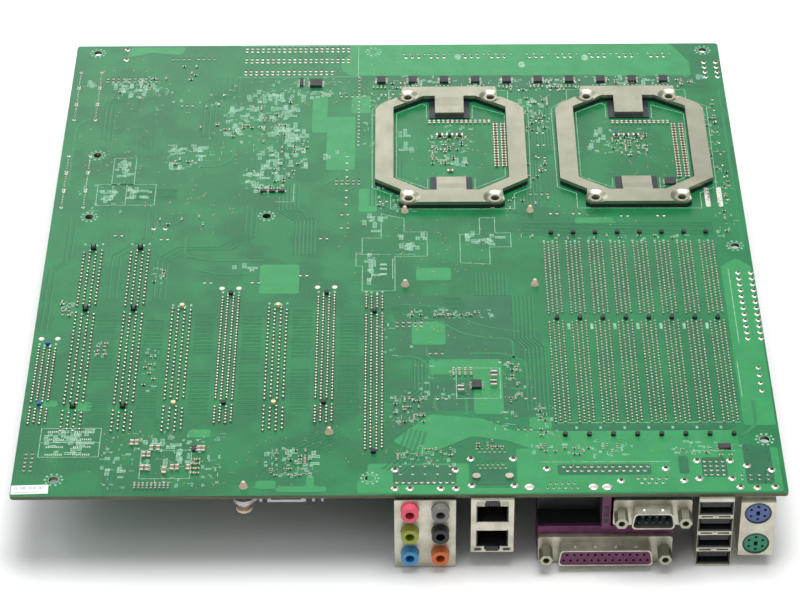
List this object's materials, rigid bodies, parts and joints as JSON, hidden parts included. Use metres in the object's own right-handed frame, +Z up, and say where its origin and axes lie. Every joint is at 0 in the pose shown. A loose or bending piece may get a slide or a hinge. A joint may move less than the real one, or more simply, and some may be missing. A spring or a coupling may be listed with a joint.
{
  "type": "motherboard",
  "caption": "Rectangular green server motherboard, solder side up, with processor backplates, expansion and memory slots below and a rear connector bank.",
  "frame": {"origin": "centre of the footprint, at the floor the board rests on", "axes": "+X along the board's width towards the keyboard connectors, +Y from the rear connectors to the front edge, +Z up out of the solder side"},
  "size_m": [0.3048, 0.3366, 0.0399],
  "materials": {
    "solder_mask": "green solder mask, semi-gloss",
    "insulator_black": "matt",
    "plated_steel": "satin nickel plating",
    "socket_plastic": "matt",
    "slot_black": "satin",
    "slot_white": "satin",
    "jack_plastic": "coloured by function",
    "connector_black": "matt",
    "connector_grey": "satin",
    "connector_white": "satin",
    "burgundy_plastic": "matt",
    "teal_plastic": "matt",
    "socket_violet": "satin",
    "heatsink_aluminium": "anodised",
    "pin_nylon": "satin",
    "capacitor_can": "sleeved can",
    "ferrite_grey": "matt",
    "chip_black": "matt",
    "latch_white": "satin",
    "clip_blue": "satin"
  },
  "bodies": {
    "board": {"pcb": "solder_mask", "backplate_insulators": "insulator_black", "heatsink_standoffs": "plated_steel", "socket_frames": "plated_steel", "cpu_backplate_1": "plated_steel", "cpu_backplate_2": "plated_steel", "cpu_socket_1": "socket_plastic", "cpu_socket_2": "socket_plastic", "dimm_slots": "slot_black", "pci_slots": "slot_white", "pcie_slots": "slot_black", "audio_jacks": "jack_plastic", "audio_stack": "connector_black", "audio_faceplate": "plated_steel", "lan_stack": "plated_steel", "parallel_port_housing": "burgundy_plastic", "parallel_port_shell": "plated_steel", "serial_port_housing": "teal_plastic", "serial_port_shell": "plated_steel", "jackscrews": "plated_steel", "usb_stack": "plated_steel", "ps2_stack": "connector_grey", "ps2_sockets": "socket_violet", "northbridge_heatsink": "heatsink_aluminium", "southbridge_heatsink": "heatsink_aluminium", "bridge_heatsink": "heatsink_aluminium", "push_pins": "pin_nylon", "power_connectors": "connector_white", "drive_connectors": "connector_black", "sata_connectors": "connector_black", "pin_headers": "connector_black", "capacitors": "capacitor_can", "inductors": "ferrite_grey", "chips": "chip_black", "driver_chips": "chip_black", "battery_holder": "connector_black", "cmos_battery": "plated_steel"},
    "load_plate_1": {"load_plate_1": "plated_steel"},
    "load_lever_1": {"load_lever_1": "plated_steel"},
    "load_plate_2": {"load_plate_2": "plated_steel"},
    "load_lever_2": {"load_lever_2": "plated_steel"},
    "dimm_latch_1_rear": {"dimm_latch_1_rear": "latch_white"},
    "dimm_latch_1_front": {"dimm_latch_1_front": "latch_white"},
    "dimm_latch_2_rear": {"dimm_latch_2_rear": "latch_white"},
    "dimm_latch_2_front": {"dimm_latch_2_front": "latch_white"},
    "dimm_latch_3_rear": {"dimm_latch_3_rear": "latch_white"},
    "dimm_latch_3_front": {"dimm_latch_3_front": "latch_white"},
    "dimm_latch_4_rear": {"dimm_latch_4_rear": "latch_white"},
    "dimm_latch_4_front": {"dimm_latch_4_front": "latch_white"},
    "dimm_latch_5_rear": {"dimm_latch_5_rear": "latch_white"},
    "dimm_latch_5_front": {"dimm_latch_5_front": "latch_white"},
    "dimm_latch_6_rear": {"dimm_latch_6_rear": "latch_white"},
    "dimm_latch_6_front": {"dimm_latch_6_front": "latch_white"},
    "dimm_latch_7_rear": {"dimm_latch_7_rear": "latch_white"},
    "dimm_latch_7_front": {"dimm_latch_7_front": "latch_white"},
    "dimm_latch_8_rear": {"dimm_latch_8_rear": "latch_white"},
    "dimm_latch_8_front": {"dimm_latch_8_front": "latch_white"},
    "pcie_clip_1": {"pcie_clip_1": "clip_blue"},
    "pcie_clip_2": {"pcie_clip_2": "clip_blue"},
    "pcie_clip_3": {"pcie_clip_3": "clip_blue"}
  },
  "joints": [
    {"name": "load_plate_1_hinge", "type": "hinge", "parent": "board", "child": "load_plate_1", "pos_m": [0.0238, 0.1017, 0.0291], "axis": [1, 0, 0], "range_deg": [0, 100]},
    {"name": "load_lever_1_hinge", "type": "hinge", "parent": "board", "child": "load_lever_1", "pos_m": [0.0238, 0.0511, 0.0318], "axis": [-1, 0, 0], "range_deg": [0, 115]},
    {"name": "load_plate_2_hinge", "type": "hinge", "parent": "board", "child": "load_plate_2", "pos_m": [0.1064, 0.1017, 0.0291], "axis": [1, 0, 0], "range_deg": [0, 100]},
    {"name": "load_lever_2_hinge", "type": "hinge", "parent": "board", "child": "load_lever_2", "pos_m": [0.1064, 0.0511, 0.0318], "axis": [-1, 0, 0], "range_deg": [0, 115]},
    {"name": "dimm_latch_1_rear_hinge", "type": "hinge", "parent": "board", "child": "dimm_latch_1_rear", "pos_m": [0.0666, -0.1264, 0.0295], "axis": [-1, 0, 0], "range_deg": [0, 30]},
    {"name": "dimm_latch_1_front_hinge", "type": "hinge", "parent": "board", "child": "dimm_latch_1_front", "pos_m": [0.0666, 0.0148, 0.0295], "axis": [1, 0, 0], "range_deg": [0, 30]},
    {"name": "dimm_latch_2_rear_hinge", "type": "hinge", "parent": "board", "child": "dimm_latch_2_rear", "pos_m": [0.07625, -0.1264, 0.0295], "axis": [-1, 0, 0], "range_deg": [0, 30]},
    {"name": "dimm_latch_2_front_hinge", "type": "hinge", "parent": "board", "child": "dimm_latch_2_front", "pos_m": [0.07625, 0.0148, 0.0295], "axis": [1, 0, 0], "range_deg": [0, 30]},
    {"name": "dimm_latch_3_rear_hinge", "type": "hinge", "parent": "board", "child": "dimm_latch_3_rear", "pos_m": [0.0859, -0.1264, 0.0295], "axis": [-1, 0, 0], "range_deg": [0, 30]},
    {"name": "dimm_latch_3_front_hinge", "type": "hinge", "parent": "board", "child": "dimm_latch_3_front", "pos_m": [0.0859, 0.0148, 0.0295], "axis": [1, 0, 0], "range_deg": [0, 30]},
    {"name": "dimm_latch_4_rear_hinge", "type": "hinge", "parent": "board", "child": "dimm_latch_4_rear", "pos_m": [0.09555, -0.1264, 0.0295], "axis": [-1, 0, 0], "range_deg": [0, 30]},
    {"name": "dimm_latch_4_front_hinge", "type": "hinge", "parent": "board", "child": "dimm_latch_4_front", "pos_m": [0.09555, 0.0148, 0.0295], "axis": [1, 0, 0], "range_deg": [0, 30]},
    {"name": "dimm_latch_5_rear_hinge", "type": "hinge", "parent": "board", "child": "dimm_latch_5_rear", "pos_m": [0.1052, -0.1264, 0.0295], "axis": [-1, 0, 0], "range_deg": [0, 30]},
    {"name": "dimm_latch_5_front_hinge", "type": "hinge", "parent": "board", "child": "dimm_latch_5_front", "pos_m": [0.1052, 0.0148, 0.0295], "axis": [1, 0, 0], "range_deg": [0, 30]},
    {"name": "dimm_latch_6_rear_hinge", "type": "hinge", "parent": "board", "child": "dimm_latch_6_rear", "pos_m": [0.11485, -0.1264, 0.0295], "axis": [-1, 0, 0], "range_deg": [0, 30]},
    {"name": "dimm_latch_6_front_hinge", "type": "hinge", "parent": "board", "child": "dimm_latch_6_front", "pos_m": [0.11485, 0.0148, 0.0295], "axis": [1, 0, 0], "range_deg": [0, 30]},
    {"name": "dimm_latch_7_rear_hinge", "type": "hinge", "parent": "board", "child": "dimm_latch_7_rear", "pos_m": [0.1245, -0.1264, 0.0295], "axis": [-1, 0, 0], "range_deg": [0, 30]},
    {"name": "dimm_latch_7_front_hinge", "type": "hinge", "parent": "board", "child": "dimm_latch_7_front", "pos_m": [0.1245, 0.0148, 0.0295], "axis": [1, 0, 0], "range_deg": [0, 30]},
    {"name": "dimm_latch_8_rear_hinge", "type": "hinge", "parent": "board", "child": "dimm_latch_8_rear", "pos_m": [0.13415, -0.1264, 0.0295], "axis": [-1, 0, 0], "range_deg": [0, 30]},
    {"name": "dimm_latch_8_front_hinge", "type": "hinge", "parent": "board", "child": "dimm_latch_8_front", "pos_m": [0.13415, 0.0148, 0.0295], "axis": [1, 0, 0], "range_deg": [0, 30]},
    {"name": "pcie_clip_1_hinge", "type": "hinge", "parent": "board", "child": "pcie_clip_1", "pos_m": [-0.14595, -0.0587, 0.0307], "axis": [1, 0, 0], "range_deg": [0, 22]},
    {"name": "pcie_clip_2_hinge", "type": "hinge", "parent": "board", "child": "pcie_clip_2", "pos_m": [-0.07112, -0.024, 0.0307], "axis": [1, 0, 0], "range_deg": [0, 22]},
    {"name": "pcie_clip_3_hinge", "type": "hinge", "parent": "board", "child": "pcie_clip_3", "pos_m": [-0.03048, -0.024, 0.0307], "axis": [1, 0, 0], "range_deg": [0, 22]}
  ]
}
